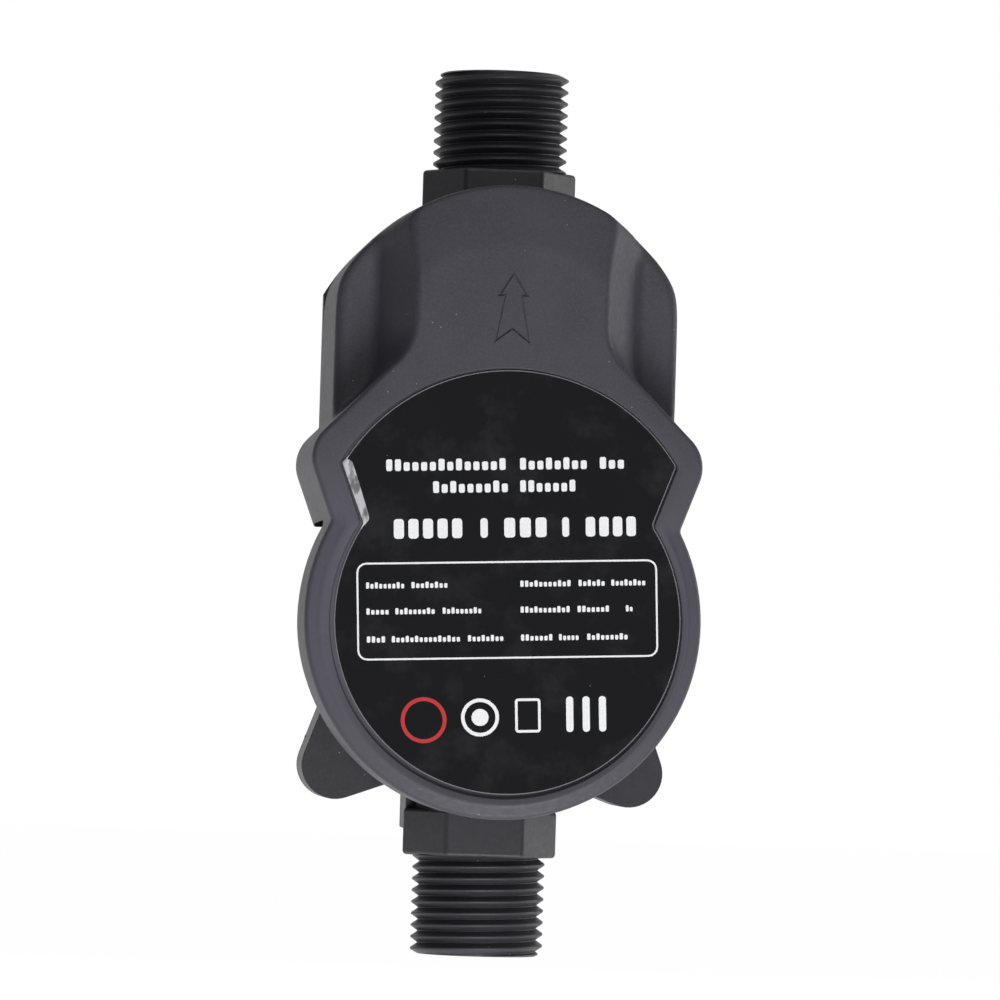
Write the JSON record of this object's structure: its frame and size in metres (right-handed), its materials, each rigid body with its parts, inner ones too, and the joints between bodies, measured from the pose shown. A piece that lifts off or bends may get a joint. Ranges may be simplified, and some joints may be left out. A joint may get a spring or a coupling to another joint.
{
  "type": "shower pump",
  "caption": "Compact inline booster pump with half-inch threaded ports above and below, a round motor drum in front and a flow switch in its outlet.",
  "frame": {"origin": "centre of the inlet port's open end, on the axis that both ports share", "axes": "+Z along the flow from the inlet port to the outlet port, -Y out of the label, +X to the right seen from the front"},
  "size_m": [0.0606, 0.0589, 0.138],
  "materials": {
    "cover": "fine charcoal texture",
    "label": null,
    "casing": "satin black moulding",
    "rear": "satin black moulding",
    "steel_screws": "plated",
    "seal_rubber": "matte",
    "can_plastic": "satin",
    "ceramic": "ground white ceramic",
    "carbon": "pressed graphite",
    "magnet": "pressed ferrite",
    "white_plastic": "satin",
    "core_steel": "stacked sheets",
    "copper": "enamelled wire",
    "board": "green solder mask",
    "parts_black": "moulded epoxy",
    "can_metal": "drawn can with a sleeve",
    "reed_glass": "clear tube"
  },
  "bodies": {
    "housing": {"front_cover": "cover", "label_plate": "label", "pump_body": "casing", "rear_cover": "rear", "long_screws": "steel_screws", "short_screws": "steel_screws", "cover_seal": "seal_rubber", "isolating_can": "can_plastic", "can_seal": "seal_rubber", "can_screws": "steel_screws", "shaft": "ceramic", "thrust_washers": "ceramic", "stator_core": "core_steel", "stator_insulators": "white_plastic", "windings": "copper", "control_board": "board", "board_screws": "steel_screws", "capacitor": "can_metal", "choke": "copper", "power_transistors": "parts_black", "controller_chip": "parts_black", "wire_connectors": "white_plastic", "sensor_board": "board", "reed_switch": "reed_glass", "float_stop": "white_plastic", "cable_gland": "seal_rubber"},
    "rotor": {"impeller": "white_plastic", "impeller_shroud": "white_plastic", "rotor_magnet": "magnet", "front_bearing": "carbon", "rear_bearing": "carbon"},
    "float": {"flow_float": "white_plastic", "float_magnet": "magnet"}
  },
  "joints": [
    {"name": "rotor_spin", "type": "hinge", "parent": "housing", "child": "rotor", "pos_m": [0, 0, 0.052], "axis": [0, -1, 0], "continuous": true},
    {"name": "float_lift", "type": "slide", "parent": "housing", "child": "float", "axis": [0, 0, 1], "range_m": [0, 0.008]}
  ]
}
